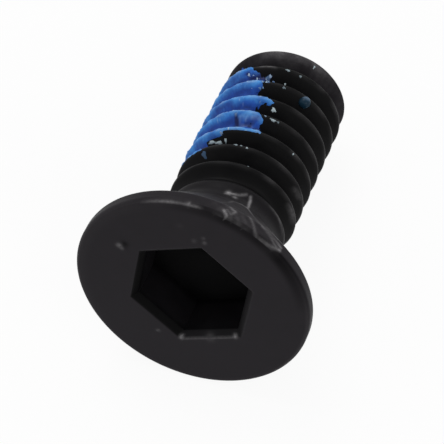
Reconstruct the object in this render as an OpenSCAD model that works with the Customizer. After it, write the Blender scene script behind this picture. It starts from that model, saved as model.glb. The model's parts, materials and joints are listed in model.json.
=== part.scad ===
// Flat countersunk screw with a hex socket, a coarse right-hand thread and a locking patch
// bonded to one side of the thread. Millimetres, +Z up.
// The screw lies on its side, on the rim of its head and on a crest of its thread near the tip.
// Its head faces -Y and its tip points along +Y. The origin is under the middle of its box.

/* [Head] */
// Diameter of the flat head
head_d = 11.5; // [10.5:0.1:13]
// Height of the head's rim, from the flat face to the start of the cone
rim_h = 0.65; // [0.4:0.05:1]
// Rounding of the rim's edge at the flat face
face_round = 0.2; // [0.05:0.05:0.3]
// Included angle of the countersunk cone
cone_angle = 82; // [78:1:92]

/* [Socket] */
// Size of the hex key, across the flats
key_size = 5; // [4:0.1:5.6]
// Depth of the socket's flat walls
socket_depth = 2.4; // [1.6:0.1:2.6]
// Depth of the hollow point at the socket's bottom
socket_point = 0.6; // [0.2:0.1:0.8]
// Width of the bevel round the socket's mouth
mouth_bevel = 0.3; // [0.05:0.05:0.4]
// Direction of one corner of the socket, counted round the screw from +X towards its underside
hex_turn = 36; // [0:1:59]

/* [Shank] */
// Overall length, from the flat face to the tip
length = 15.875; // [13:0.125:26]
// Diameter of the plain neck under the head
neck_d = 5.7; // [5.2:0.1:6.2]
// Length of the plain neck
neck_l = 0.3; // [0.2:0.1:2]
// Drop from the neck to the ground that the thread grows from
neck_step = 0.1; // [0.06:0.01:0.15]
// Bevel at the tip, at 45 degrees
tip_bevel = 0.85; // [0.4:0.05:1.1]

/* [Thread] */
// Diameter over the crests of the thread
thread_d = 6.35; // [6:0.05:6.8]
// Advance of the thread in one turn
pitch = 1.27; // [0.9:0.01:1.4]
// Length over which the thread rises to its full height behind the neck
run_out = 1.3; // [0.5:0.1:2]
// Direction in which the thread starts, counted round the screw from +X towards its underside
start_angle = 0; // [0:10:350]

/* [Locking patch] */
// Distance from the start of the thread to the near end of the patch
patch_head_gap = 2.5; // [1.5:0.1:4]
// Distance from the far end of the patch to the tip
patch_tip_gap = 1.9; // [1.5:0.1:4]
// Direction of the patch's lower edge, counted round the screw from +X towards its underside
patch_low_angle = 160; // [130:10:200]
// Direction of the patch's upper edge, counted the same way
patch_high_angle = 270; // [220:10:300]
// Thickness of the coating over the crests
patch_film = 0.1; // [0.05:0.01:0.2]
// Depth below the crests to which the coating fills the grooves
patch_groove = 0.35; // [0.2:0.05:0.6]

/* [Hidden] */
$fn = 96;

// Widths and depth of the thread's 60 degree profile, as shares of its pitch
depth_share = 0.61343;
crest_share = 1 / 8;
flank_angle = 30;

// Facets of the thread in one turn. The steps stand half a step off +X, so that the middle of
// a facet, and no edge, faces straight down.
turn_steps = 36;
step_angle = 360 / turn_steps;
function near_step(angle) = round(angle / step_angle - 1 / 2);
function step_turn(step) = (step + 1 / 2) * step_angle;

// Facets of the head in one turn, and steps of the rounding of its rim
head_parts = 180;
round_steps = 3;

head_r = head_d / 2;
neck_r = neck_d / 2;
crest_r = thread_d / 2;
thread_depth = depth_share * pitch;
root_r = crest_r - thread_depth;
tip_r = crest_r - tip_bevel;
crest_w = crest_share * pitch;
flank_w = thread_depth * tan(flank_angle);

// Heights along the screw, from the flat face towards the tip
cone_end = rim_h + (head_r - neck_r) / tan(cone_angle / 2);
neck_end = cone_end + neck_l;
thread_start = neck_end + 2 * neck_step;

// The thread's crests rise and its grooves sink from the ground, a little below the neck.
// Its core runs on into the neck by a turn.
ground_r = neck_r - neck_step;
start_step = near_step(start_angle);
turns = ceil((length - thread_start) / pitch) + 1;

// Distance along the thread's profile, and full radius, of its numbered points
profile_run = [0, flank_w, flank_w + crest_w, 2 * flank_w + crest_w];
profile_r = [root_r, crest_r, crest_r, root_r];
profile_points = len(profile_run);

function limit(value, low, high) = max(low, min(high, value));

// Share of the thread's full form after a number of steps along the helix
function rise_share(steps) = limit(steps * pitch / turn_steps / run_out, 0, 1);

function wrapped(point) = (point % profile_points + profile_points) % profile_points;
function whole_turns(point) = floor(point / profile_points);

// Height and radius of a point of the thread. The step counts round the screw from +X, and
// the point counts along the profile, so that profile_points more is one turn on.
function thread_z(step, point) =
    thread_start
    + pitch * ((step - start_step) / turn_steps + whole_turns(point))
    + profile_run[wrapped(point)];
function thread_r(step, point) =
    let (steps = step - start_step + turn_steps * whole_turns(point))
    let (grown = ground_r + rise_share(steps) * (profile_r[wrapped(point)] - ground_r))
    min(grown, tip_r + length - thread_z(step, point));
function around(step, radius, z) =
    [radius * cos(step_turn(step)), radius * sin(step_turn(step)), z];
function thread_point(step, point) =
    around(step, thread_r(step, point), thread_z(step, point));

// The underside's line of rest touches the cone-side edge of the rim and the thread
under_step = near_step(90);
under_tilts = [
    for (step = [under_step - 1 : under_step], point = [0 : profile_points * turns])
        let (z = thread_z(step, point), reach = thread_r(step, point) * sin(step_turn(step)))
            if (z > thread_start && z < length)
                atan((head_r - reach) / (z - rim_h))
];
lie_tilt = min(under_tilts);
lie_lift = head_r * cos(lie_tilt) + rim_h * sin(lie_tilt);
head_reach = (head_r - face_round) * sin(lie_tilt) + face_round * (1 - cos(lie_tilt));
tip_reach = length * cos(lie_tilt) + tip_r * sin(lie_tilt);

// The patch runs between two grooves of the thread
patch_low_step = near_step(patch_low_angle);
patch_high_step = near_step(patch_high_angle);
patch_mid_step = round((patch_low_step + patch_high_step) / 2);
function groove_near(z) = profile_points * round((z - thread_z(patch_mid_step, 0)) / pitch);
patch_start = groove_near(thread_start + patch_head_gap);
patch_end = groove_near(length - patch_tip_gap);
function patch_point(step, point) =
    around(
        step,
        max(thread_r(step, point) + patch_film, crest_r - patch_groove),
        thread_z(step, point)
    );

// Two triangles on the corners a, b, c and d of one facet, seen from outside
function facet(a, b, c, d) = [[a, c, b], [a, d, c]];
function turned(triangle) = [triangle[0], triangle[2], triangle[1]];

// Lays the screw down from upright on its face
module laid() {
    translate([0, (head_reach - tip_reach) / 2, lie_lift])
        rotate([-90 - lie_tilt, 0, 0])
            children();
}

// The head's rim and cone are fine facets, on which it lies still
module head() {
    inside_neck = neck_l / 2;
    hull()
        rotate_extrude($fn = head_parts)
            polygon(concat(
                [[0, 0]],
                [
                    for (k = [0 : round_steps])
                        let (a = 90 * k / round_steps)
                            [head_r - face_round + face_round * sin(a), face_round - face_round * cos(a)]
                ],
                [
                    [head_r, rim_h],
                    [neck_r - inside_neck * tan(cone_angle / 2), cone_end + inside_neck],
                    [0, cone_end + inside_neck]
                ]
            ));
}

module neck() {
    translate([0, 0, rim_h])
        cylinder(h = neck_end - rim_h, r = neck_r);
    translate([0, 0, neck_end])
        cylinder(h = neck_r - root_r, r1 = neck_r, r2 = root_r);
}

// The helical thread on its core, cut off flat at the tip
module thread() {
    first = start_step - turn_steps;
    steps = turn_steps * (turns + 1);
    columns = [for (m = [0 : steps]) for (j = [0 : profile_points - 1]) thread_point(first + m, j)];
    last_edge = [for (m = [steps - turn_steps + 1 : steps]) thread_point(first + m, profile_points)];
    start_axis = [0, 0, thread_z(first, 0) + pitch / 2];
    end_axis = [0, 0, thread_z(first + steps, 0) + pitch / 2];
    points = concat(columns, last_edge, [start_axis, end_axis]);
    edge_base = len(columns);
    start_axis_at = len(points) - 2;
    end_axis_at = len(points) - 1;

    // Place of a point in the list. The far edge of a turn is the near edge of the next.
    function at(m, j) =
        j < profile_points ? profile_points * m + j
        : m + turn_steps <= steps ? profile_points * (m + turn_steps)
        : edge_base + m + turn_steps - steps - 1;
    sides = [
        for (m = [0 : steps - 1])
            for (j = [0 : profile_points - 1])
                each facet(at(m, j), at(m + 1, j), at(m + 1, j + 1), at(m, j + 1))
    ];
    start_cap = concat(
        [for (m = [0 : turn_steps - 1]) [at(m, 0), at(m + 1, 0), start_axis_at]],
        [for (j = [0 : profile_points - 1]) [at(0, j + 1), at(0, j), start_axis_at]]
    );
    end_cap = concat(
        [
            for (m = [steps - turn_steps : steps - 1])
                [at(m + 1, profile_points), at(m, profile_points), end_axis_at]
        ],
        [for (j = [0 : profile_points - 1]) [at(steps, j), at(steps, j + 1), end_axis_at]]
    );
    intersection() {
        polyhedron(points, concat(sides, start_cap, end_cap));
        cylinder(h = length, r = head_r);
    }
}

// The hex hollow for the key, with its bevelled mouth and pointed bottom
module socket() {
    corner_r = key_size / 2 / cos(30);
    mouth_r = (key_size / 2 + mouth_bevel) / cos(30);
    above = 1;
    translate([0, 0, -above])
        cylinder(h = socket_depth + above, r = corner_r, $fn = 6);
    translate([0, 0, -above])
        cylinder(h = above, r = mouth_r, $fn = 6);
    cylinder(h = mouth_bevel, r1 = mouth_r, r2 = corner_r, $fn = 6);
    translate([0, 0, socket_depth])
        cylinder(h = socket_point, r1 = key_size / 2, r2 = 0);
}

module screw() {
    color("#2a292b")
        laid()
            difference() {
                union() {
                    head();
                    neck();
                    thread();
                }
                rotate(hex_turn)
                    socket();
            }
}

// The coating lies on the thread's own facets
module locking_patch() {
    rows = patch_end - patch_start;
    columns = patch_high_step - patch_low_step;
    inner = [
        for (c = [0 : columns])
            for (s = [0 : rows]) thread_point(patch_low_step + c, patch_start + s)
    ];
    outer = [
        for (c = [0 : columns])
            for (s = [0 : rows]) patch_point(patch_low_step + c, patch_start + s)
    ];
    function in_at(c, s) = c * (rows + 1) + s;
    function out_at(c, s) = len(inner) + in_at(c, s);
    skin = [
        for (c = [0 : columns - 1])
            for (s = [0 : rows - 1])
                each facet(out_at(c, s), out_at(c + 1, s), out_at(c + 1, s + 1), out_at(c, s + 1))
    ];
    bond = [
        for (c = [0 : columns - 1])
            for (s = [0 : rows - 1])
                for (t = facet(in_at(c, s), in_at(c + 1, s), in_at(c + 1, s + 1), in_at(c, s + 1)))
                    turned(t)
    ];
    ends = [
        for (c = [0 : columns - 1])
            each concat(
                facet(in_at(c, 0), in_at(c + 1, 0), out_at(c + 1, 0), out_at(c, 0)),
                facet(out_at(c, rows), out_at(c + 1, rows), in_at(c + 1, rows), in_at(c, rows))
            )
    ];
    edges = [
        for (s = [0 : rows - 1])
            each concat(
                facet(out_at(0, s), out_at(0, s + 1), in_at(0, s + 1), in_at(0, s)),
                facet(in_at(columns, s), in_at(columns, s + 1), out_at(columns, s + 1), out_at(columns, s))
            )
    ];
    color("#4d9be0")
        laid()
            polyhedron(concat(inner, outer), concat(skin, bond, ends, edges));
}

screw();
locking_patch();
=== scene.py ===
import json
import math
from types import SimpleNamespace

import bmesh
import bpy
import numpy as np
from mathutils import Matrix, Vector


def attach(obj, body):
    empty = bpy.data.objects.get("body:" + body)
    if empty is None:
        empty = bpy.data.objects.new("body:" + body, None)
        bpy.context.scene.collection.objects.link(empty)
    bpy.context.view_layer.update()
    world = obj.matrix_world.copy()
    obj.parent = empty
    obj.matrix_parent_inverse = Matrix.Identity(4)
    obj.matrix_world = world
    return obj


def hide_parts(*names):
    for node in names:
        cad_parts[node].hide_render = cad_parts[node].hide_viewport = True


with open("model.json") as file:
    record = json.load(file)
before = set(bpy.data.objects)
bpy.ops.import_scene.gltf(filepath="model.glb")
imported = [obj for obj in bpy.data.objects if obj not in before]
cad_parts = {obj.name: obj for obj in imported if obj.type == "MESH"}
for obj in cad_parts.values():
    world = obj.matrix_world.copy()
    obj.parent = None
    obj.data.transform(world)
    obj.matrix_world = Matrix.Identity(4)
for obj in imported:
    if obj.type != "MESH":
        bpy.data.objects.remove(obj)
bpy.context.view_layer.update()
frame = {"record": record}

# Sizes of the screw in millimetres. Heights count from the flat face towards the tip.
HEAD_R = 5.746
RIM_H = 0.65
FACE_ROUND = 0.22
CONE_SLOPE = math.tan(math.radians(41))
KEY_HALF = 2.5
SOCKET_DEPTH = 2.4
SOCKET_POINT = 0.6
MOUTH_BEVEL = 0.3
HEX_TURN = 36.0
LENGTH = 15.875
NECK_R = 2.85
NECK_FILLET = 0.35
CREST_R = 3.175
PITCH = 1.27
THREAD_DEPTH = 0.779
ROOT_R = CREST_R - THREAD_DEPTH
TIP_R = 2.325
TIP_EASE = 0.19
TIP_CURVE = 2.5
TIP_SOFT = 0.07
END_HOLLOW = 0.12
END_WEAR = 0.035
END_SHARES = (0.03, 0.12, 0.3, 0.5, 0.6)
SHARP_ANGLE = 38

# Height of a crest in the direction of +X, and half widths of crest and flanks in turns
CREST_Z = 5.033
CREST_HALF = 0.068
ROOT_HALF = 0.43
ROOT_SOFT = 0.2
CREST_SOFT = 0.14
RISE_Z = 4.0
RISE_L = 2.3

# Directions of the columns round the screw, as spans from, to and number of columns. There is one
# on each corner of the socket, and they are closer at the scuffed rim and at the dent in the face.
COLUMN_SPANS = (
    (251, 276, 20), (276, 336, 96), (336, 516, 108), (516, 561, 27), (561, 576, 30), (576, 611, 21),
)
TURNS = np.concatenate([low + (high - low) * np.arange(n) / n for low, high, n in COLUMN_SPANS])
COLUMNS = len(TURNS)

# Points of the thread's profile in one turn, from one crest on
PROFILE = (
    0.0, 0.04, 0.065, 0.09, 0.14, 0.2, 0.26, 0.32, 0.37, 0.41, 0.45,
    0.5, 0.55, 0.59, 0.63, 0.68, 0.74, 0.8, 0.86, 0.91, 0.935, 0.96,
)
STRIP_START = 0.75

# The screw's own frame, taken from the mount on its face, with lengths in millimetres
MM = 0.001
TINY = 1e-9
mounts = {m["name"]: m for m in frame["record"]["mounts"]}
tip_way = -Vector(mounts["drive_socket"]["axis"]).normalized()
side_way = Vector((1, 0, 0))
under_way = tip_way.cross(side_way)
face_centre = Vector(mounts["drive_socket"]["pos_m"])
TO_FRAME = np.array((side_way, under_way, tip_way)) * MM
FRAME_ORIGIN = np.array(face_centre)


def soft_max(a, b, k):
    """The larger of a and b, blended where they differ by less than k."""
    h = np.clip(0.5 + 0.5 * (a - b) / k, 0, 1)
    return b + (a - b) * h + k * h * (1 - h)


def soft_min(a, b, k):
    return -soft_max(-a, -b, k)


def ease(x):
    """A soft step from 0 at 0 to 1 at 1."""
    x = np.clip(x, 0, 1)
    return x * x * (3 - 2 * x)


def ramp(x, start, end):
    """A soft step from 0 at start to 1 at end, which may lie below start."""
    return ease((x - start) / (end - start))


def bell(x, middle, width):
    """1 at the middle, fading on both sides over the width."""
    return np.exp(-(((x - middle) / width) ** 2))


def ripples(seed, count, low, high):
    """A smooth random field over points, between about -1 and 1."""
    rng = np.random.default_rng(seed)
    waves = rng.uniform(low, high, (count, 3)) * rng.choice((-1, 1), (count, 3))
    phases = rng.uniform(0, 2 * np.pi, count)
    return lambda points: np.sin(points @ waves.T + phases).sum(1) / math.sqrt(count)


def varied(field, mean, gain, low, high):
    """A value that follows a random field about its mean, within limits."""
    return np.clip(mean + gain * field, low, high)


def around(turn, radius, z):
    """Points at directions in degrees, radii and heights."""
    a = np.radians(turn)
    return np.stack(np.broadcast_arrays(radius * np.cos(a), radius * np.sin(a), z), -1)


def crest_nearness(turn, z):
    """1 on the crests of the thread and 0 in its grooves."""
    phase = (z - CREST_Z) / PITCH - turn / 360
    off = np.abs(phase - np.round(phase))
    rise = (ROOT_HALF - off) / (ROOT_HALF - CREST_HALF)
    return soft_min(soft_max(rise, 0.0, ROOT_SOFT), 1.0, CREST_SOFT)


def shank_radius(turn, z):
    """Radius of the cone, neck, thread and bevelled tip."""
    cone = HEAD_R - (z - RIM_H) * CONE_SLOPE
    body = soft_max(cone, NECK_R, NECK_FILLET)
    full = ROOT_R + THREAD_DEPTH * crest_nearness(turn, z)
    radius = body + ease((z - RISE_Z) / RISE_L) * (full - body)
    left = LENGTH - z
    bevel = TIP_R + left - TIP_CURVE * np.clip(TIP_EASE - left, 0, None) ** 2
    return soft_min(radius, bevel, TIP_SOFT)


# Burrs and creases on the neck, the cone and the rim, and painted highlights along the rim's edge
# and the first crests, as directions, heights and strengths
BURR_AND_HIGHLIGHT_LINES = (
    ((272.6, 4.14, 0.5), (275.0, 4.25, 1.0), (278.1, 4.28, 0.9), (284.8, 4.41, 0.5), (290.7, 4.62, 0.5)),
    ((295.2, 4.63, 0.7), (297.0, 4.44, 1.0), (297.2, 4.01, 0.8), (296.2, 3.55, 0.6)),
    (
        (278.2, 0.77, 0.2), (280.8, 1.58, 0.08), (282.9, 3.22, 0.4), (290.0, 3.61, 0.8),
        (296.2, 3.55, 0.8),
    ),
    (
        (296.2, 3.55, 0.8), (297.4, 2.3, 0.25), (298.0, 1.68, 0.15), (300.4, 0.63, 0.4),
        (305.0, 0.56, 0.35), (309.9, 0.48, 0.45),
    ),
    ((309.9, 0.48, 0.45), (313.0, 0.4, 0.7)),
    ((293.0, 0.76, 0.35), (296.1, 0.44, 0.35), (298.3, 0.13, 0.3), (301.0, 0.0, 0.2)),
    (
        (298.7, 0.88, 0.25), (302.8, 0.54, 0.25), (306.7, 0.41, 0.3), (309.0, 0.27, 0.3),
        (311.7, 0.2, 0.4),
    ),
    # A painted highlight along the rim's edge at the face
    ((301.5, 0.02, 0.2), (304.4, 0.02, 0.3), (307.2, 0.05, 0.3), (309.8, 0.1, 0.4), (313.1, 0.23, 0.75)),
    ((281.8, 0.31, 0.9), (283.9, 0.07, 0.9)),
    ((283.8, 0.63, 0.4), (286.7, 0.51, 0.6), (285.6, 0.24, 0.4), (283.0, 0.4, 0.4)),
    # The next three lines are painted highlights on the lit edges of the first crests on the right
    (
        (312.0, 4.93, 0.0), (321.0, 4.96, 0.2), (329.3, 4.99, 0.25), (337.4, 4.94, 0.25),
        (356.0, 4.87, 0.0),
    ),
    ((329.0, 6.07, 0.0), (337.8, 6.1, 0.3), (345.7, 6.14, 0.42), (351.0, 6.15, 0.3), (360.0, 6.17, 0.0)),
    (
        (329.0, 7.27, 0.0), (336.0, 7.32, 0.2), (343.0, 7.37, 0.25), (350.0, 7.43, 0.1),
        (356.0, 7.48, 0.0),
    ),
    ((246.0, 13.54, 0.1), (251.0, 13.56, 0.4), (258.0, 13.58, 0.45), (264.0, 13.56, 0.1)),
)
CREASE_WIDTH = 0.07
CREASE_HEIGHT = 0.035

# Pale haze between the burrs
HAZE = (
    ((284.0, 0.9, 0.25), (289.0, 2.6, 0.35), (294.0, 3.6, 0.3)),
    ((296.0, 1.2, 0.35), (303.0, 0.7, 0.2)),
    ((280.0, 0.5, 0.25), (285.0, 0.3, 0.75), (291.0, 0.2, 0.5)),
)
HAZE_WIDTH = 0.6

# Small bright marks on the face, the rim, the neck and the crests
WORN_AND_LIT_SPOTS = (
    # The first two marks are a painted highlight on the lit wall of the dent
    (-3.61, -1.87, 0.02, 0.13, 0.3),
    (-3.48, -1.75, 0.02, 0.11, 0.2),
    (-0.02, -3.52, 0.0, 0.11, 0.09),
    (0.41, -3.84, 0.0, 0.09, 0.1),
    (0.48, -3.57, 0.0, 0.1, 0.16),
    (-0.75, -4.2, 0.0, 0.16, 0.02),
    (-1.49, 3.07, 0.0, 0.08, 0.25),
    (-0.32, 3.12, 0.06, 0.1, 0.75),
    (2.3, 1.98, 0.04, 0.1, 0.65),
    (1.08, 2.54, 0.02, 0.22, 0.12),
    # This mark ends the painted highlight along the rim
    (-0.42, -5.66, 0.03, 0.1, 0.6),
    (0.25, -2.84, 4.26, 0.13, 1.0),
    (0.6, -2.8, 4.12, 0.12, 0.5),
)

# Strength of the painted highlight on the rim and the painted shade on the face's edge, by direction
RIM_HIGHLIGHT = ((241, 247, 252, 257, 262, 267, 270, 273), (0.0, 0.17, 0.3, 0.42, 0.22, 0.36, 0.25, 0.0))
EDGE_SHADE = (
    (250, 262, 272, 280, 285, 292, 303, 309, 316, 329, 342, 352),
    (0.0, 0.25, 0.38, 0.48, 0.62, 0.5, 0.58, 0.45, 0.7, 0.5, 0.25, 0.0),
)

# Dent in the face, as its middle, its half sizes along and across, its direction and its depth
DENT_X, DENT_Y = -3.43, -1.93
DENT_LONG, DENT_WIDE = 0.24, 0.16
DENT_TURN = 21.0
DENT_DEPTH = 0.04

# Dark shade beside the dent
DARK_SPOTS = ((-3.34, -2.05, 0.0, 0.2, 0.7),)


def near_lines(turn, z, radius, lines, width):
    """Nearness of surface points to drawn lines, from 0 to the line's strength."""
    best = np.zeros(np.shape(turn))
    for line in lines:
        for (t0, z0, s0), (t1, z1, s1) in zip(line, line[1:]):
            scale = radius * math.pi / 180
            dx, dz = (t1 - t0) * scale, np.full(np.shape(scale), z1 - z0)
            px, pz = (turn - t0) * scale, z - z0
            share = np.clip((px * dx + pz * dz) / np.maximum(dx * dx + dz * dz, TINY), 0, 1)
            gap = np.hypot(px - share * dx, pz - share * dz)
            best = np.maximum(best, (s0 + (s1 - s0) * share) * np.exp(-((gap / width) ** 2)))
    return best


def near_spots(points, spots):
    """Nearness of points to round spots, given as x, y, z, radius and strength."""
    best = np.zeros(len(points))
    for x, y, z, radius, strength in spots:
        gap = np.linalg.norm(points - np.array((x, y, z)), axis=1)
        best = np.maximum(best, strength * np.exp(-((gap / radius) ** 2)))
    return best


def dent_depth(points):
    """Depth of the dent at points of the face."""
    a = math.radians(DENT_TURN)
    x, y = points[:, 0] - DENT_X, points[:, 1] - DENT_Y
    along = (x * math.cos(a) + y * math.sin(a)) / DENT_LONG
    across = (y * math.cos(a) - x * math.sin(a)) / DENT_WIDE
    return DENT_DEPTH * np.exp(-(along**2) - across**2)


def add_piece(name, points, faces, material, node, values):
    """A mesh from millimetre points, with named values for its material."""
    mesh = bpy.data.meshes.new(name)
    mesh.from_pydata((points @ TO_FRAME + FRAME_ORIGIN).tolist(), [], faces)
    for key, data in values.items():
        layer = mesh.attributes.new(key, "FLOAT", "POINT")
        layer.data.foreach_set("value", np.asarray(data, dtype=np.float32))
    obj = bpy.data.objects.new(name, mesh)
    bpy.context.scene.collection.objects.link(obj)
    mesh.materials.append(material)
    mesh.shade_smooth()
    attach(obj, "root")
    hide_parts(node)
    return obj


# Materials

# Colours of the steel where it is oiled and dull, each darkest and palest, in painted shade, and bare.
# Mottle and grain are given as scale, detail and roughness, with the part of their values that is
# used, and bumps as strength and height.
# Inside the socket the oiled colour also paints shade and the dull colour paints light.
OILED_AND_SHADED = ((0.0022, 0.0022, 0.0025), (0.0048, 0.0046, 0.005))
DULL_AND_LIT = ((0.0138, 0.0121, 0.0145), (0.0172, 0.0152, 0.018))
IN_SHADE = (0.001, 0.001, 0.001)
# The bare colour also paints highlights on the rim, the crests and the dent.
BARE_AND_HIGHLIGHT = (0.34, 0.33, 0.34)
STEEL_ROUGH = (0.42, 0.56)
STEEL_SHINE = 0.07
STEEL_MOTTLE, MOTTLE_SPAN = (900, 5, 0.6), (0.3, 0.7)
STEEL_GRAIN, GRAIN_SPAN = (9000, 3, 0.6), (0.25, 0.6)
GRAIN_WEAR = (0.55, 1.0)
STEEL_BUMP = (0.12, 0.02 * MM)

# Colours of the coating in its grooves and on its ridges, each darkest and palest, where it is
# thin, in green drops, and where it is pale and in painted highlights
DEEP = ((0.004, 0.04, 0.24), (0.011, 0.082, 0.42))
LIGHT = ((0.02, 0.145, 0.48), (0.052, 0.28, 0.7))
THIN = (0.003, 0.01, 0.075)
TEAL = (0.008, 0.026, 0.045)
PALE_AND_HIGHLIGHT = (0.6, 0.72, 0.76)
COAT_ROUGH = (0.45, 0.6)
WET_ROUGH = 0.35
COAT_SHINE = 0.3
WET_SHINE = 0.08
COAT_STREAK, STREAK_SPAN = (1600, 4, 0.6), (0.35, 0.65)
COAT_GRAIN = (4200, 4, 0.6)
COAT_BUMP = (0.25, 0.04 * MM)


class Nodes:
    """Shorthand for one material's node tree."""

    def __init__(self, name):
        self.material = bpy.data.materials.new(name)
        self.material.use_nodes = True
        self.tree = self.material.node_tree
        self.shader = self.tree.nodes["Principled BSDF"]

    def add(self, kind, **values):
        node = self.tree.nodes.new(kind)
        for key, value in values.items():
            if key in node.inputs:
                node.inputs[key].default_value = value
            else:
                setattr(node, key, value)
        return node

    def link(self, source, target):
        self.tree.links.new(source, target)

    def noise(self, scale, detail, rough):
        place = self.add("ShaderNodeTexCoord")
        node = self.add("ShaderNodeTexNoise", Scale=scale, Detail=detail, Roughness=rough)
        self.link(place.outputs["Object"], node.inputs["Vector"])
        return node.outputs["Fac"]

    def span(self, source, low, high, to_low, to_high):
        node = self.add("ShaderNodeMapRange")
        limits = {"From Min": low, "From Max": high, "To Min": to_low, "To Max": to_high}
        for key, value in limits.items():
            node.inputs[key].default_value = value
        self.link(source, node.inputs["Value"])
        return node.outputs["Result"]

    def value(self, name):
        return self.add("ShaderNodeAttribute", attribute_name=name).outputs["Fac"]

    def mix(self, share, a, b):
        node = self.add("ShaderNodeMix", data_type="RGBA")
        self.link(share, node.inputs["Factor"])
        for key, value in (("A", a), ("B", b)):
            socket = [s for s in node.inputs if s.name == key and s.type == "RGBA"][0]
            if isinstance(value, tuple):
                socket.default_value = (*value, 1)
            else:
                self.link(value, socket)
        return [s for s in node.outputs if s.type == "RGBA"][0]

    def times(self, a, b):
        node = self.add("ShaderNodeMath", operation="MULTIPLY")
        self.link(a, node.inputs[0])
        self.link(b, node.inputs[1])
        return node.outputs[0]

    def bump(self, height, strength, distance):
        node = self.add("ShaderNodeBump", Strength=strength, Distance=distance)
        self.link(height, node.inputs["Height"])
        self.link(node.outputs["Normal"], self.shader.inputs["Normal"])


def black_steel():
    n = Nodes("black_oxide")
    mottle = n.span(n.noise(*STEEL_MOTTLE), *MOTTLE_SPAN, 0, 1)
    grain = n.noise(*STEEL_GRAIN)
    # The dullness follows the finish, and inside the socket it paints light and shade
    dark = n.mix(n.value("dull_and_lit"), n.mix(mottle, *OILED_AND_SHADED), n.mix(mottle, *DULL_AND_LIT))
    # Painted shade darkens the socket, the edge of the face and the spot beside the dent
    dark = n.mix(n.value("shade"), dark, IN_SHADE)
    # Bare steel where it is worn, which also paints highlights
    worn_and_lit = n.times(n.value("bare_and_lit"), n.span(grain, *GRAIN_SPAN, *GRAIN_WEAR))
    n.link(n.mix(worn_and_lit, dark, BARE_AND_HIGHLIGHT), n.shader.inputs["Base Color"])
    n.link(n.span(mottle, 0, 1, *STEEL_ROUGH), n.shader.inputs["Roughness"])
    # Painted shade also takes the shine away
    shine = n.span(n.value("shade"), 0, 1, STEEL_SHINE, 0)
    n.link(shine, n.shader.inputs["Specular IOR Level"])
    n.bump(grain, *STEEL_BUMP)
    return n.material


def blue_coating():
    n = Nodes("blue_coating")
    streak = n.span(n.noise(*COAT_STREAK), *STREAK_SPAN, 0, 1)
    colour = n.mix(n.value("ridge"), n.mix(streak, *DEEP), n.mix(streak, *LIGHT))
    colour = n.mix(n.value("thin"), colour, THIN)
    colour = n.mix(n.value("teal"), colour, TEAL)
    n.link(n.mix(n.value("pale"), colour, PALE_AND_HIGHLIGHT), n.shader.inputs["Base Color"])
    rough = n.span(streak, 0, 1, *COAT_ROUGH)
    wet = n.span(n.value("wet"), 0, 1, 1, WET_ROUGH)
    n.link(n.times(rough, wet), n.shader.inputs["Roughness"])
    shine = n.span(n.value("wet"), 0, 1, COAT_SHINE, WET_SHINE)
    n.link(shine, n.shader.inputs["Specular IOR Level"])
    n.bump(n.noise(*COAT_GRAIN), *COAT_BUMP)
    return n.material


STEEL = black_steel()
COATING = blue_coating()


# The screw

# Rings of the head: shares of the socket's floor, heights of its walls, shares and drops of its
# bevelled mouth, shares of the face, heights of the rim, and heights and insets of the cone's start
FLOOR_FILL = 0.97
FLOOR_SHARES = (0.12, 0.3, 0.5, 0.7, 0.86, 1.0)
WALL_HEIGHTS = (SOCKET_DEPTH, 2.0, 1.5, 1.0, 0.6, 0.35, MOUTH_BEVEL + 0.03)
MOUTH_RINGS = ((0.06, 0.0), (0.35, 0.0), (0.65, 0.0), (0.9, 0.006))
MOUTH_EDGE = (0.015, 0.002)
FACE_SPANS = ((0.03, 0.24, 0.04), (0.26, 0.56, 0.02), (0.58, 0.98, 0.04))
FACE_SHARES = np.concatenate([np.arange(*span) for span in FACE_SPANS])
ROUND_ANGLES = range(0, 91, 15)
RIM_HEIGHTS = (0.27, 0.34, 0.41, 0.48, 0.55, 0.61)
CONE_RINGS = ((0.64, 0.006), (0.665, 0.02), (0.7, 0.044))


def hex_radius(turn, half):
    """Radius of a hexagon with this half width across its flats."""
    return half / np.cos(np.radians((turn - HEX_TURN) % 60 - 30))


def head_rings():
    """Radii and heights of the rings from the socket's bottom over the face and rim to the cone."""
    rings = []
    floor_r = FLOOR_FILL * KEY_HALF
    for share in FLOOR_SHARES:
        rings.append((floor_r * share, SOCKET_DEPTH + SOCKET_POINT * (1 - share)))
    wall = hex_radius(TURNS, KEY_HALF)
    rings.append((0.5 * floor_r + 0.5 * wall, SOCKET_DEPTH))
    rings += [(wall, z) for z in WALL_HEIGHTS]
    mouth = hex_radius(TURNS, KEY_HALF + MOUTH_BEVEL)
    for share, drop in MOUTH_RINGS:
        rings.append((wall + (mouth - wall) * share, MOUTH_BEVEL * (1 - share) + drop))
    rings.append((mouth + MOUTH_EDGE[0], MOUTH_EDGE[1]))
    face_r = HEAD_R - FACE_ROUND
    rings += [(mouth + (face_r - mouth) * share, 0.0) for share in FACE_SHARES]
    for angle in ROUND_ANGLES:
        a = math.radians(angle)
        rings.append((face_r + FACE_ROUND * math.sin(a), FACE_ROUND * (1 - math.cos(a))))
    rings += [(HEAD_R, z) for z in RIM_HEIGHTS]
    rings += [(HEAD_R - inset, z) for z, inset in CONE_RINGS]
    return rings


def thread_rows():
    """Rows of the shank in turns of the thread, from the start of the cone to past the tip."""
    first_crest = CREST_Z + PITCH * TURNS[0] / 360
    low = math.ceil((STRIP_START - first_crest) / PITCH)
    high = math.ceil((LENGTH - first_crest) / PITCH) + 1
    return [crest + share for crest in range(low, high) for share in PROFILE]


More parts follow.
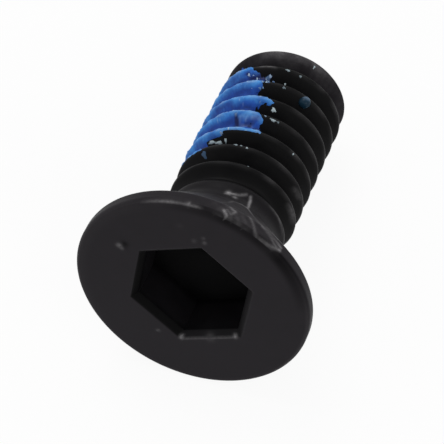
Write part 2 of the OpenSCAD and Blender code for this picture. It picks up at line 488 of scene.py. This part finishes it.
def screw_points(rings, rows):
    """Points of the screw with their directions and their kinds, 0 on the head and 1 on the shank."""
    points = [np.array(((0, 0, SOCKET_DEPTH + SOCKET_POINT),))]
    points += [around(TURNS, radius, z) for radius, z in rings]
    for row in rows:
        z = CREST_Z + PITCH * (row + TURNS / 360)
        points.append(around(TURNS, shank_radius(TURNS, z), z))
    turns = np.append(0, np.tile(TURNS, len(rings) + len(rows)))
    kinds = np.repeat((0.0, 1.0), (1 + len(rings) * COLUMNS, len(rows) * COLUMNS))
    return np.concatenate(points), turns, kinds


def screw_faces(ring_count, row_count):
    """Faces between the rings of the head and the rows of the shank."""
    per_turn = len(PROFILE)
    last_ring, last_row, last_column = ring_count - 1, row_count - 1, COLUMNS - 1
    shank_start = 1 + ring_count * COLUMNS

    def ring(i, c):
        return 1 + i * COLUMNS + c % COLUMNS

    # The last column of a row meets the first column one turn further on
    def strip(i, c):
        return shank_start + (i + per_turn * (c // COLUMNS)) * COLUMNS + c % COLUMNS

    faces = [(0, ring(0, c + 1), ring(0, c)) for c in range(COLUMNS)]
    for i in range(last_ring):
        for c in range(COLUMNS):
            faces.append((ring(i, c), ring(i, c + 1), ring(i + 1, c + 1), ring(i + 1, c)))
    for c in range(last_column):
        faces.append((ring(last_ring, c), ring(last_ring, c + 1), strip(0, c + 1), strip(0, c)))
    faces.append((ring(last_ring, last_column), ring(last_ring, 0), strip(0, last_column)))
    faces.append((ring(last_ring, 0), strip(0, 0), strip(0, last_column)))
    faces += [(strip(j, 0), strip(j + 1, 0), strip(0, last_column)) for j in range(per_turn)]
    for i in range(last_row):
        for c in range(COLUMNS if i + 1 + per_turn <= last_row else last_column):
            faces.append((strip(i, c), strip(i, c + 1), strip(i + 1, c + 1), strip(i + 1, c)))
    return faces


# Heights that part the face from its edge, and the head from the burrs on the shank
FACE_END = 0.01
EDGE_END = 1
BURR_START = 1.2

# Wear and painted highlights as shares of bare steel. A pair is where it begins and where it is
# full, and a grain is its mean, gain and limits.
BURR_AND_HIGHLIGHT_SHARE, BURR_GRAIN = 0.75, (0.95, 0.15, 0.7, 1.1)
HAZE_PALENESS, HAZE_GRAIN = 0.17, (0.75, 0.3, 0, 1.2)
CREST_WEAR, CREST_PATCHES = 0.01, 0.012
CREST_EDGE = (0.86, 1.0)
CREST_START = (4.6, 5.6)
CREST_END = (LENGTH - 0.9, LENGTH - 1.3)
# Painted highlight on the crests of the right side
RIGHT_HIGHLIGHT, RIGHT_HIGHLIGHT_PATCHES = 0.035, 0.03
RIGHT_START = (285, 315)
RIGHT_END = (395, 350)
TIP_START = (LENGTH - 1.75, LENGTH - 1.25)
TIP_WEAR, TIP_PATCHES, TIP_SPECKS = 0.03, 0.02, 0.01
LAST_WEAR, LAST_PATCHES, LAST_SPECKS = 0.13, 0.05, 0.03
LAST_EDGE = (0.55, 0.9)
LAST_START = (236, 252)
LAST_END = (325, 295)
RIM_MIDDLE, RIM_WIDTH, RIM_WEAR = 5.63, 0.06, 0.03
RIM_END = 0.3
# Painted light on the left edge of the face
LEFT_EDGE = (5.0, 5.7)
LEFT_START = (130, 160)
LEFT_END = (250, 230)
LEFT_LIGHT = 0.02
LIP_WIDTH, LIP_END = 0.05, 0.1
# The lip of the socket's mouth is paler along its low edge
LIP_WEAR, LOW_LIP_PALENESS = 0.01, 0.17
LOW_LIP_START = (37, 40)
LOW_LIP_END = (95, 92)

# Painted shade along the edge of the face
EDGE_SHADE_START = (5.0, 5.4)
EDGE_SHADE_END = 0.12

# Where the cone and the thread turn from dull to oiled
CONE_OILED = (1.0, 4.0)
THREAD_OILED = (4.4, 5.6)

# Painted light and shade inside the socket, where its left and low walls differ from the others
SOCKET_START = 0.05 * MOUTH_BEVEL
SOCKET_END = SOCKET_DEPTH - 0.01
BEVEL_END = MOUTH_BEVEL + 0.01
LOW_START = (33, 39)
LEFT_WALLS_START = (93, 99)
WALLS_END = (219, 213)
MOUTH_LIGHT, MOUTH_FADE = 0.3, 0.6
LEFT_LESS = 0.9
LOW_WALL_LIGHT = 0.35
WALL_START = (0.3, 0.7)
LEFT_SHADE, WALL_SHADE = 0.6, 0.4


def wear_and_highlights(s):
    """Bare steel, with painted highlights, on burrs, haze, crests, tip, marks, rim, left edge and the
    socket's lip.
    """
    patchy = ripples(3, 12, 1.0, 5.0)(s.points)
    fine = ripples(4, 16, 6.0, 16.0)(s.points)
    # Burrs are worn bare, and the highlight lines are painted highlights
    burrs_and_highlights = BURR_AND_HIGHLIGHT_SHARE * s.crease * varied(fine, *BURR_GRAIN)
    haze = near_lines(s.direction, s.height, s.radius, HAZE, HAZE_WIDTH)
    haze *= HAZE_PALENESS * s.outer * varied(fine, *HAZE_GRAIN)

    nearness = crest_nearness(s.turns, s.height)
    crest = ramp(nearness, *CREST_EDGE) * s.on_shank
    crest *= ramp(s.height, *CREST_START) * ramp(s.height, *CREST_END)
    # Directions from 180 to 540 run on over the right side without a jump
    over_right = (s.turns - 180) % 360 + 180
    # The crests on the right side get a painted highlight
    right = ramp(over_right, *RIGHT_START) * ramp(over_right, *RIGHT_END)
    patches = (CREST_PATCHES + RIGHT_HIGHLIGHT_PATCHES * right) * patchy
    crest *= np.clip(CREST_WEAR + RIGHT_HIGHLIGHT * right + patches, 0, 1)

    last_crest = ramp(nearness, *LAST_EDGE) * s.tip
    last_crest *= ramp(s.direction, *LAST_START) * ramp(s.direction, *LAST_END)
    tip = TIP_WEAR + TIP_PATCHES * patchy + TIP_SPECKS * fine
    tip += last_crest * (LAST_WEAR + LAST_PATCHES * patchy + LAST_SPECKS * fine)
    tip = s.tip * np.clip(tip, 0, 1)

    # A painted highlight along the rim's rounded edge, over a slightly worn rim
    streak = np.interp(s.direction, *RIM_HIGHLIGHT)
    rim = bell(s.radius, RIM_MIDDLE, RIM_WIDTH) * (s.height < RIM_END)
    rim *= RIM_WEAR * (1 - s.dark_edge) + streak
    # Painted light on the left edge of the face
    left = LEFT_LIGHT * ramp(s.radius, *LEFT_EDGE) * (s.height < RIM_END)
    left *= ramp(s.direction, *LEFT_START) * ramp(s.direction, *LEFT_END)
    # The low edge of the socket's mouth is paler
    low_lip = ramp(s.direction, *LOW_LIP_START) * ramp(s.direction, *LOW_LIP_END)
    lip = bell(s.radius, s.mouth, LIP_WIDTH) * (s.height < LIP_END)
    lip *= LIP_WEAR + LOW_LIP_PALENESS * low_lip
    marks = near_spots(s.points, WORN_AND_LIT_SPOTS)
    return np.clip(np.max((burrs_and_highlights, haze, crest, tip, marks, rim, left, lip), axis=0), 0, 1)


def dullness_and_painted_shade(s):
    """Dullness and painted shade. Head, neck and tip are dull, and the thread is oiled and darker."""
    oiled = 0.5 * ramp(s.height, *CONE_OILED) + 0.5 * ramp(s.height, *THREAD_OILED)
    dull_and_lit = np.maximum(1 - oiled * s.kinds, s.tip)
    shade = np.maximum(s.dark_edge, near_spots(s.points, DARK_SPOTS))
    # Inside the socket light and shade are painted
    in_socket = (s.kinds == 0) & (s.radius < s.mouth) & (s.height > SOCKET_START)
    walls_end = ramp(s.direction, *WALLS_END)
    low_walls = ramp(s.direction, *LOW_START) * walls_end * (s.height < SOCKET_END)
    left_bevels = ramp(s.direction, *LEFT_WALLS_START) * walls_end
    # Painted light near the mouth, fading deeper into the socket and kept off the left bevels
    mouth = MOUTH_LIGHT * np.exp(-s.height / MOUTH_FADE) * (1 - LEFT_LESS * left_bevels)
    # Painted light on the low walls
    walls = LOW_WALL_LIGHT * low_walls * ramp(s.height, *WALL_START)
    # Painted shade on the left bevels, the other walls and the floor
    dim = np.where(s.height < BEVEL_END, LEFT_SHADE * left_bevels, WALL_SHADE * (1 - low_walls))
    return np.where(in_socket, np.maximum(mouth, walls), dull_and_lit), np.where(in_socket, dim, shade)


def build_screw():
    rings, rows = head_rings(), thread_rows()
    points, turns, kinds = screw_points(rings, rows)
    s = SimpleNamespace(points=points, turns=turns, kinds=kinds, direction=turns % 360)
    s.height = points[:, 2]
    s.radius = np.hypot(points[:, 0], points[:, 1])
    s.mouth = hex_radius(turns, KEY_HALF + MOUTH_BEVEL)
    s.outer = (kinds > 0) | ((s.radius > HEAD_R - FACE_ROUND) & (s.height < EDGE_END))
    s.on_shank = kinds * (s.height > BURR_START)

    # Burrs and highlight lines stand up from the shank, and the dent goes into the face
    s.crease = s.outer * near_lines(s.direction, s.height, s.radius, BURR_AND_HIGHLIGHT_LINES, CREASE_WIDTH)
    lifted = s.radius + CREASE_HEIGHT * s.crease * s.on_shank
    points[:, :2] *= (lifted / np.maximum(s.radius, TINY))[:, None]
    on_face = (kinds == 0) & (s.radius > s.mouth) & (s.height < FACE_END)
    points[:, 2] += np.where(on_face, dent_depth(points), 0)

    s.tip = ramp(s.height, *TIP_START) * s.on_shank
    # Painted shade along the edge of the face
    s.dark_edge = ramp(s.radius, *EDGE_SHADE_START) * (s.height < EDGE_SHADE_END) * (kinds == 0)
    s.dark_edge *= np.interp(s.direction, *EDGE_SHADE)
    dull_and_lit, shade = dullness_and_painted_shade(s)
    values = {"bare_and_lit": wear_and_highlights(s), "dull_and_lit": dull_and_lit, "shade": shade}
    faces = screw_faces(len(rings), len(rows))
    screw = add_piece("screw_body", points, faces, STEEL, "screw", values)
    cut_tip(screw)


def cut_tip(obj):
    """Cuts the thread off flat at the tip and closes it with a slightly hollow end."""
    bm = bmesh.new()
    bm.from_mesh(obj.data)
    end = Vector(TO_FRAME[2] * LENGTH + FRAME_ORIGIN)
    cut = bmesh.ops.bisect_plane(
        bm,
        geom=bm.verts[:] + bm.edges[:] + bm.faces[:],
        dist=TINY,
        plane_co=end,
        plane_no=tip_way,
        clear_outer=True,
    )
    rim = [e for e in cut["geom_cut"] if isinstance(e, bmesh.types.BMEdge) and e.is_boundary]
    middle = end - tip_way * END_HOLLOW * MM
    bare_and_lit = bm.verts.layers.float["bare_and_lit"]
    for share in END_SHARES:
        grown = bmesh.ops.extrude_edge_only(bm, edges=rim)["geom"]
        rim = [g for g in grown if isinstance(g, bmesh.types.BMEdge) and g.is_boundary]
        for vertex in {v for edge in rim for v in edge.verts}:
            vertex.co = vertex.co.lerp(middle, share)
            vertex[bare_and_lit] = END_WEAR
    bmesh.ops.pointmerge(bm, verts=list({v for edge in rim for v in edge.verts}), merge_co=middle)
    bmesh.ops.recalc_face_normals(bm, faces=bm.faces[:])
    bm.to_mesh(obj.data)
    bm.free()
    obj.data.set_sharp_from_angle(angle=math.radians(SHARP_ANGLE))


build_screw()


# The locking patch and its spatters

# Long edge of the patch as heights and directions, its low edge, the directions and the turns of
# the thread that its grid of points covers, and its two ends
PATCH_EDGE = (
    (6.95, 190), (7.0, 216), (7.04, 231), (7.3, 230), (7.9, 224), (8.12, 225), (8.2, 241), (8.36, 246),
    (8.42, 262), (8.5, 280), (8.7, 278), (9.46, 276), (9.75, 274), (10.2, 266), (10.6, 262), (10.8, 265),
    (10.95, 279), (11.1, 274), (11.4, 264), (11.85, 255), (12.0, 259), (12.17, 260), (12.35, 264),
    (12.7, 262), (13.2, 254), (13.4, 245), (13.9, 233), (14.38, 226), (14.46, 216), (14.55, 190),
)
PATCH_LOW = 158.0
PATCH_TURNS = np.arange(144.0, 288.0)
PATCH_WINDS = 9
PATCH_ROWS = np.array([wind + share for wind in range(PATCH_WINDS) for share in PROFILE])
PATCH_ENDS = (7.0, 14.5)

# Raggedness of the patch: sway of its long and low edge in degrees and of its ends in millimetres,
# and crumbs broken out of the long edge, with the directions where they begin and are full
EDGE_SWAY, LOW_SWAY, END_SWAY = 1.4, 6, 0.12
CRUMBS, CRUMB_LEVEL = 3, 0.1
CRUMB_START = (225, 250)

# Thickness of the coating: its film with lumps and grain, less in thin places, its fill of the
# grooves, its largest radius, how far it sinks into the thread, and the width of its rising edge
FILM, FILM_LUMPS, FILM_GRAIN, FILM_THIN = 0.055, 0.018, 0.012, 0.03
FILL_R, FILL_LUMPS, FILL_SOFT = CREST_R - 0.52, 0.06, 0.14
COAT_TOP = CREST_R + 0.15
SINK = 0.03
EDGE_RISE = 0.22

# Mottled dark grooves, ridges, pale flecks, painted highlights on the crests and pale lines on the
# coating
GROOVE = (0.75, 0.35)
GROOVE_START = (230, 246)
GROOVE_THIN = 0.75
MOTTLE = (0.1, -0.7)
RIDGE_START, RIDGE_RISE = 0.62, 0.4
RIDGE_LUMPS, RIDGE_GRAIN = 0.12, 0.05
FLECK_LEVEL, FLECK_GAIN, FLECK_MOST = 1.1, 1.2, 0.8
FLECK_START = (222, 242)
# Painted highlight along the crest tops
CREST_HIGHLIGHT_EDGE = (0.9, 1.0)
CREST_HIGHLIGHT = (0.06, 0.12, 0, 0.3)
PALE_LINE_SHARE, PALE_LINE_GRAIN = 0.5, (0.45, 0.25, 0.1, 0.8)

# Thin dark places in the coating, as directions, heights and half sizes round and along the screw
THIN_SPOTS = (
    (248.6, 9.43, 0.11, 0.17), (262.0, 9.34, 0.1, 0.08), (243.0, 13.17, 0.36, 0.07),
    (252.0, 13.2, 0.3, 0.12), (235.5, 13.28, 0.12, 0.05),
)
THIN_REACH = 1.6

# A thicker line of coating along one crest
RAISED = (((224.0, 9.65, 0.0), (236.0, 9.7, 1.0), (260.0, 9.78, 1.0), (268.0, 9.8, 0.0)),)
RAISED_WIDTH = 0.16
RAISED_HEIGHT = 0.085

# Pale lines on the coating, as directions, heights and strengths
PALE_LINES = (
    (
        (236.0, 8.35, 0.1), (246.0, 8.41, 0.15), (262.3, 8.45, 0.25), (271.4, 8.48, 0.3),
        (279.7, 8.53, 0.3),
    ),
    ((250.0, 9.36, 0.4), (256.0, 9.3, 0.7), (264.0, 9.32, 0.4)),
    ((252.0, 9.52, 0.4), (262.0, 9.6, 0.6), (272.0, 9.66, 0.4)),
    ((226.0, 9.72, 0.3), (236.0, 9.76, 1.0), (252.0, 9.81, 1.5), (261.0, 9.84, 1.2)),
    ((228.0, 10.98, 0.2), (248.0, 11.05, 0.4), (262.0, 11.08, 0.5), (277.0, 11.08, 0.7)),
    ((232.0, 12.26, 0.2), (246.0, 12.31, 0.5), (258.0, 12.34, 0.7)),
)
PALE_LINE_WIDTH = 0.07


def patch_inside(turn, z, points):
    """Distance in millimetres inside the patch's ragged edge, negative outside it."""
    heights, edges = np.array(PATCH_EDGE).T
    wobble = ripples(11, 14, 3.0, 12.0)(points)
    crumbs = np.clip(ripples(14, 18, 6.0, 20.0)(points) - CRUMB_LEVEL, 0, None)
    high = np.interp(z, heights, edges) + EDGE_SWAY * wobble
    high -= CRUMBS * crumbs * ramp(turn, *CRUMB_START)
    low = PATCH_LOW + LOW_SWAY * ripples(12, 10, 1.0, 5.0)(points)
    per_degree = CREST_R * math.pi / 180
    ends = np.minimum(z - PATCH_ENDS[0], PATCH_ENDS[1] - z) + END_SWAY * wobble
    return np.minimum(np.minimum(high - turn, turn - low) * per_degree, ends)


def thin_places(turn, z, radius):
    """1 in the middle of the thin places of the coating and 0 away from them."""
    best = np.zeros(np.shape(turn))
    for spot_turn, spot_z, wide, long in THIN_SPOTS:
        gap = np.hypot(np.radians(turn - spot_turn) * radius / wide, (z - spot_z) / long)
        best = np.maximum(best, ease(THIN_REACH - gap))
    return best


def patch_faces(kept):
    """Faces of a closed layer over the grid's kept points, with its back on a second set of points."""
    used = kept[:-1, :-1] | kept[1:, :-1] | kept[:-1, 1:] | kept[1:, 1:]
    index = np.arange(kept.size).reshape(kept.shape)
    skin, back, sides = [], [], {}
    for i, c in np.argwhere(used):
        quad = (index[i, c], index[i, c + 1], index[i + 1, c + 1], index[i + 1, c])
        quad = tuple(int(v) for v in quad)
        skin.append(quad)
        back.append(tuple(v + kept.size for v in reversed(quad)))
        for side in zip(quad, quad[1:] + quad[:1]):
            sides[side] = True
    rim = [(b, a, a + kept.size, b + kept.size) for a, b in sides if (b, a) not in sides]
    return skin + back + rim


def build_patch():
    z = CREST_Z + PITCH * (PATCH_ROWS[:, None] + PATCH_TURNS[None, :] / 360)
    turn = np.broadcast_to(PATCH_TURNS, z.shape)
    ground = shank_radius(turn, z)
    place = around(turn, ground, z).reshape(-1, 3)
    nearness = crest_nearness(turn, z)
    inside = patch_inside(turn.ravel(), z.ravel(), place).reshape(z.shape)
    lumps = ripples(13, 16, 2.0, 9.0)(place).reshape(z.shape)
    fine = ripples(15, 20, 10.0, 30.0)(place).reshape(z.shape)

    groove = ramp(nearness, *GROOVE) * ramp(turn, *GROOVE_START)
    thin = np.maximum(thin_places(turn, z, ground), GROOVE_THIN * groove * ramp(lumps, *MOTTLE))
    film = FILM + FILM_LUMPS * lumps + FILM_GRAIN * fine - FILM_THIN * thin
    film += RAISED_HEIGHT * near_lines(turn, z, ground, RAISED, RAISED_WIDTH)
    coat = soft_max(ground + film, FILL_R + FILL_LUMPS * lumps, FILL_SOFT)
    coat = np.minimum(coat, COAT_TOP)
    cover = ease(inside / EDGE_RISE)
    outer = ground - SINK + (coat - ground + SINK) * cover
    inner = ground - 2 * SINK
    layers = [around(turn, radius, z).reshape(-1, 3) for radius in (outer, inner)]

    ridge = nearness - RIDGE_START + RIDGE_LUMPS * lumps + RIDGE_GRAIN * fine
    ridge = ease(ridge / RIDGE_RISE)
    flecks = np.clip((fine - FLECK_LEVEL) * FLECK_GAIN, 0, FLECK_MOST) * ridge
    flecks *= ramp(turn, *FLECK_START)
    # Painted highlight along the crest tops
    crest_highlight = ramp(nearness, *CREST_HIGHLIGHT_EDGE) * varied(lumps, *CREST_HIGHLIGHT)
    pale_lines = PALE_LINE_SHARE * near_lines(turn, z, ground, PALE_LINES, PALE_LINE_WIDTH)
    pale_lines *= varied(fine, *PALE_LINE_GRAIN)
    pale = np.max((flecks, crest_highlight, pale_lines), axis=0) * (1 - thin)
    values = {"ridge": ridge, "pale": pale, "thin": thin}
    values = {key: np.tile(value.ravel(), 2) for key, value in values.items()}
    return np.concatenate(layers), patch_faces(cover > 0), values


# Rings of a dome, its lobes, and its paleness, which fades towards its edge
DOME_STEPS = 18
DOME_RINGS = (1.0, 0.8, 0.55, 0.28)
DOME_FLAT = 0.999
THREE_LOBES, FIVE_LOBES = 0.2, 0.14
EDGE_FADE = 0.7
RING_FADE = [1 - EDGE_FADE * ring**2 for ring in DOME_RINGS]
DOME_FADE = np.append(np.repeat(RING_FADE, DOME_STEPS), (1, 1))


def dome(turn, z, half, height, stretch):
    """A small lobed drop on the shank's surface, with a closed back."""
    steps, rings = DOME_STEPS, len(DOME_RINGS)
    points = []
    for ring in DOME_RINGS:
        rise = (height + SINK) * math.sqrt(1 - ring * ring * DOME_FLAT) - SINK
        for k in range(steps):
            a = 2 * math.pi * k / steps
            lobes = 1 + THREE_LOBES * math.sin(3 * a + turn) + FIVE_LOBES * math.sin(5 * a + 9 * z)
            t = turn + math.degrees(ring * half * lobes * math.cos(a) * stretch / CREST_R)
            h = z + ring * half * lobes * math.sin(a)
            points.append(around(t, shank_radius(np.array(t), np.array(h)) + rise, h))
    top, back = len(points), len(points) + 1
    ground = shank_radius(np.array(turn), np.array(z))
    points.append(around(turn, ground + height, z))
    points.append(around(turn, ground - 2 * SINK, z))

    def at(i, k):
        return i * steps + k % steps

    faces = []
    for i in range(rings - 1):
        faces += [(at(i, k), at(i, k + 1), at(i + 1, k + 1), at(i + 1, k)) for k in range(steps)]
    faces += [(at(rings - 1, k), at(rings - 1, k + 1), top) for k in range(steps)]
    faces += [(at(0, k + 1), at(0, k), back) for k in range(steps)]
    return np.array(points), faces


# Rows and columns of a bead, the direction of its painted highlight, and where that begins and is full
BEAD_ROWS, BEAD_COLUMNS = 16, 28
BEAD_LIGHT = np.array((0.25, -0.81, 0.52))
BEAD_HIGHLIGHT = (0.5, 0.95)
# How much less green the painted highlight is
BEAD_HIGHLIGHT_CLEAR = 0.15


def bead(turn, z, radius, lift):
    """A round drop that sits on the shank's surface."""
    centre = around(turn, shank_radius(np.array(turn), np.array(z)) + lift, z)
    rows, columns = BEAD_ROWS, BEAD_COLUMNS
    points = [centre + (0, 0, -radius)]
    for i in range(1, rows):
        a = math.pi * i / rows - math.pi / 2
        for k in range(columns):
            b = 2 * math.pi * k / columns
            way = (math.cos(a) * math.cos(b), math.cos(a) * math.sin(b), math.sin(a))
            points.append(centre + radius * np.array(way))
    points.append(centre + (0, 0, radius))
    top = len(points) - 1

    def at(i, k):
        return 1 + (i - 1) * columns + k % columns

    faces = [(0, at(1, k + 1), at(1, k)) for k in range(columns)]
    for i in range(1, rows - 1):
        faces += [(at(i, k), at(i, k + 1), at(i + 1, k + 1), at(i + 1, k)) for k in range(columns)]
    faces += [(at(rows - 1, k), at(rows - 1, k + 1), top) for k in range(columns)]
    return np.array(points), faces


def bead_highlight(points):
    """Painted highlight of a bead, 1 on its upper side towards the tip and 0 below."""
    way = points - points.mean(0)
    way /= np.linalg.norm(way, axis=1)[:, None]
    return ramp(way @ BEAD_LIGHT, *BEAD_HIGHLIGHT)


# Spatters as direction, height, half width, height above the thread, stretch, paleness and
# greenness. A stretch of 0 is a round bead, whose paleness is a painted highlight.
SPATTERS = [
    (302.5, 12.28, 0.31, -0.07, 0, 0.12, 1.0),
    (231.4, 6.9, 0.13, 0.02, 1.2, 0.04, 0.85),
    (229.3, 8.085, 0.05, 0.04, 5.0, 0.75, 1),
    (237.0, 8.045, 0.05, 0.04, 5.0, 0.75, 1),
    (244.9, 8.09, 0.075, 0.04, 1.1, 0.7, 1),
    (262.5, 7.29, 0.07, 0.04, 1.8, 0.5, 1),
    (267.4, 7.28, 0.045, 0.04, 1.4, 0.5, 1),
    (272.8, 7.24, 0.06, 0.04, 1.0, 0.8, 1),
    (236.4, 13.25, 0.06, 0.07, 1.8, 0.85, 0),
    (240.8, 13.24, 0.04, 0.06, 2.4, 0.6, 0),
    (244.6, 13.14, 0.055, 0.07, 1.1, 0.9, 0),
    (247.2, 13.13, 0.035, 0.06, 1.0, 0.7, 0),
    (256.8, 13.17, 0.13, 0.02, 1.3, 0.12, 0.6),
    (259.0, 13.25, 0.065, 0.03, 1.5, 0.6, 0.2),
    (254.6, 13.15, 0.05, 0.03, 1.2, 0.55, 0.2),
    (261.6, 12.3, 0.06, 0.03, 1.2, 0.8, 0),
    (210.8, 14.4, 0.05, 0.05, 1.5, 0.6, 0),
    (278.3, 10.8, 0.07, 0.03, 2.3, 0.95, 1),
    (282.5, 9.76, 0.055, 0.03, 3.4, 0.7, 1),
    (275.0, 9.8, 0.05, 0.03, 1.4, 0.45, 0.7),
    (287.5, 9.78, 0.05, 0.02, 1.4, 0.3, 1),
    (274.8, 13.57, 0.055, 0.03, 2.8, 0.5, 1),
    (287.6, 13.56, 0.045, 0.03, 1.8, 0.4, 1),
    (276.3, 13.17, 0.06, 0.03, 1.0, 0.85, 1),
    (278.6, 12.27, 0.05, 0.02, 2.2, 0.25, 1),
    (295.6, 14.8, 0.06, 0.02, 1.0, 0.75, 1),
    (312.8, 8.6, 0.05, 0.03, 1.0, 0.85, 1),
    (281.0, 6.15, 0.045, 0.03, 1.0, 0.75, 1),
    (326.0, 9.35, 0.045, 0.03, 1.0, 0.5, 1),
]

# Flakes along the patch's edge: how many, where along the screw, mean and spread of their distance
# from the edge in degrees, half widths, stretches, paleness, and the nearness to a crest they need
FLAKES, FLAKE_SEED = 40, 21
FLAKE_HEIGHTS = (8.2, 14.2)
FLAKE_OFFSET = (-7, 5)
FLAKE_HALF = (0.015, 0.035)
FLAKE_STRETCH = (1.4, 3.6)
FLAKE_PALE = (0.2, 0.6)
FLAKE_LEVEL = 0.55
FLAKE_TOP, FLAKE_GREEN = 0.085, 0.3
SPATTER_RIDGE = 0.7


def scatter_flakes():
    """Small pale flakes along the ragged edge of the patch, mostly on the crests."""
    rng = np.random.default_rng(FLAKE_SEED)
    heights, edges = np.array(PATCH_EDGE).T
    for _ in range(FLAKES):
        z = rng.uniform(*FLAKE_HEIGHTS)
        turn = np.interp(z, heights, edges) + rng.normal(*FLAKE_OFFSET)
        half, stretch = rng.uniform(*FLAKE_HALF), rng.uniform(*FLAKE_STRETCH)
        pale = rng.uniform(*FLAKE_PALE)
        if crest_nearness(turn, z) > FLAKE_LEVEL:
            SPATTERS.append((turn, z, half, FLAKE_TOP, stretch, pale, FLAKE_GREEN))


scatter_flakes()


def build_coating():
    """The patch and all its spatters as one piece."""
    layer, faces, values = build_patch()
    points, count = [layer], len(layer)
    values = {key: [value] for key, value in values.items()}
    for key in ("teal", "wet"):
        values[key] = [np.zeros(count)]
    for turn, z, half, height, stretch, paleness, green in SPATTERS:
        if stretch:
            drop, sides = dome(turn, z, half, height, stretch)
            fade_and_highlight, wet = DOME_FADE, 0
        else:
            drop, sides = bead(turn, z, half, height)
            # A round bead's paleness is a painted highlight on its upper side, which is also less green
            fade_and_highlight, wet = bead_highlight(drop), 1
            green = green - BEAD_HIGHLIGHT_CLEAR * fade_and_highlight
        looks = {"ridge": SPATTER_RIDGE, "pale": paleness * fade_and_highlight, "thin": 0, "teal": green, "wet": wet}
        for key, value in looks.items():
            values[key].append(np.full(len(drop), value))
        faces += [tuple(v + count for v in side) for side in sides]
        points.append(drop)
        count += len(drop)
    points = np.concatenate(points)
    values = {key: np.concatenate(parts) for key, parts in values.items()}
    coat = add_piece("locking_coat", points, faces, COATING, "locking_patch", values)
    bm = bmesh.new()
    bm.from_mesh(coat.data)
    loose = [v for v in bm.verts if not v.link_faces]
    bmesh.ops.delete(bm, geom=loose, context="VERTS")
    bmesh.ops.recalc_face_normals(bm, faces=bm.faces[:])
    bm.to_mesh(coat.data)
    bm.free()


build_coating()


# Floor, light and camera

WHITE = (1, 1, 1, 1)
FLOOR_HALF = 1.0
FLOOR_COLOUR = (0.9, 0.9, 0.9, 1)
FLOOR_GLOW = 0.92
WORLD_LIGHT = 0.6


def seen_rays(tree):
    """1 for rays that the camera, a reflection or a clear body sees."""
    path = tree.nodes.new("ShaderNodeLightPath")
    total = path.outputs["Is Camera Ray"]
    for name in ("Is Glossy Ray", "Is Transmission Ray"):
        node = tree.nodes.new("ShaderNodeMath")
        node.operation = "MAXIMUM"
        tree.links.new(total, node.inputs[0])
        tree.links.new(path.outputs[name], node.inputs[1])
        total = node.outputs[0]
    return total


def build_floor():
    mesh = bpy.data.meshes.new("floor")
    corners = [(-1, -1), (1, -1), (1, 1), (-1, 1)]
    mesh.from_pydata([(x * FLOOR_HALF, y * FLOOR_HALF, 0) for x, y in corners], [], [(0, 1, 2, 3)])
    floor = bpy.data.objects.new("floor", mesh)
    bpy.context.scene.collection.objects.link(floor)
    material = bpy.data.materials.new("floor_white")
    material.use_nodes = True
    tree = material.node_tree
    tree.nodes.clear()
    matte = tree.nodes.new("ShaderNodeBsdfDiffuse")
    matte.inputs["Color"].default_value = FLOOR_COLOUR
    glow = tree.nodes.new("ShaderNodeEmission")
    glow.inputs["Color"].default_value = WHITE
    share = tree.nodes.new("ShaderNodeMath")
    share.operation = "MULTIPLY"
    share.inputs[1].default_value = FLOOR_GLOW
    tree.links.new(seen_rays(tree), share.inputs[0])
    mix = tree.nodes.new("ShaderNodeMixShader")
    tree.links.new(share.outputs[0], mix.inputs[0])
    tree.links.new(matte.outputs[0], mix.inputs[1])
    tree.links.new(glow.outputs[0], mix.inputs[2])
    out = tree.nodes.new("ShaderNodeOutputMaterial")
    tree.links.new(mix.outputs[0], out.inputs["Surface"])
    mesh.materials.append(material)


def build_world():
    world = bpy.data.worlds.new("studio")
    bpy.context.scene.world = world
    world.use_nodes = True
    tree = world.node_tree
    tree.nodes.clear()
    soft = tree.nodes.new("ShaderNodeBackground")
    soft.inputs["Color"].default_value = WHITE
    soft.inputs["Strength"].default_value = WORLD_LIGHT
    white = tree.nodes.new("ShaderNodeBackground")
    white.inputs["Color"].default_value = WHITE
    white.inputs["Strength"].default_value = 1.0
    mix = tree.nodes.new("ShaderNodeMixShader")
    tree.links.new(seen_rays(tree), mix.inputs[0])
    tree.links.new(soft.outputs[0], mix.inputs[1])
    tree.links.new(white.outputs[0], mix.inputs[2])
    out = tree.nodes.new("ShaderNodeOutputWorld")
    tree.links.new(mix.outputs[0], out.inputs["Surface"])


# Lamps as name, place, size and power, and the point they are aimed at
LAMPS = (
    ("key", (-0.14, 0.1, 0.34), 0.22, 0.45),
    ("fill", (0.24, -0.2, 0.2), 0.2, 0.2),
)
LAMP_AIM = Vector((0, 0, 0.005))


def add_lamp(name, place, size, power):
    light = bpy.data.lights.new(name, "AREA")
    light.shape = "DISK"
    light.size = size
    light.energy = power
    lamp = bpy.data.objects.new(name, light)
    bpy.context.scene.collection.objects.link(lamp)
    lamp.location = place
    lamp.rotation_euler = (LAMP_AIM - Vector(place)).to_track_quat("-Z", "Y").to_euler()


# View from the front right and above, as azimuth, elevation, target and distance
VIEW_AZIMUTH = 18.9576
VIEW_ELEVATION = 54.4959
VIEW_TARGET = Vector((-0.000149, -0.0025788, 0.0049884))
VIEW_DISTANCE = 0.0916676
VIEW_LENS = 154.117
VIEW_SENSOR = 36
VIEW_NEAR, VIEW_FAR = 0.001, 20


def build_camera():
    camera = bpy.data.cameras.new("camera")
    camera.lens = VIEW_LENS
    camera.sensor_width = VIEW_SENSOR
    camera.clip_start = VIEW_NEAR
    camera.clip_end = VIEW_FAR
    eye = bpy.data.objects.new("camera", camera)
    bpy.context.scene.collection.objects.link(eye)
    a, e = math.radians(VIEW_AZIMUTH), math.radians(VIEW_ELEVATION)
    back = Vector((math.sin(a) * math.cos(e), -math.cos(a) * math.cos(e), math.sin(e)))
    eye.location = VIEW_TARGET + back * VIEW_DISTANCE
    eye.rotation_euler = back.to_track_quat("Z", "Y").to_euler()
    bpy.context.scene.camera = eye


build_floor()
build_world()
for lamp in LAMPS:
    add_lamp(*lamp)
build_camera()
bpy.context.scene.view_settings.view_transform = "Standard"
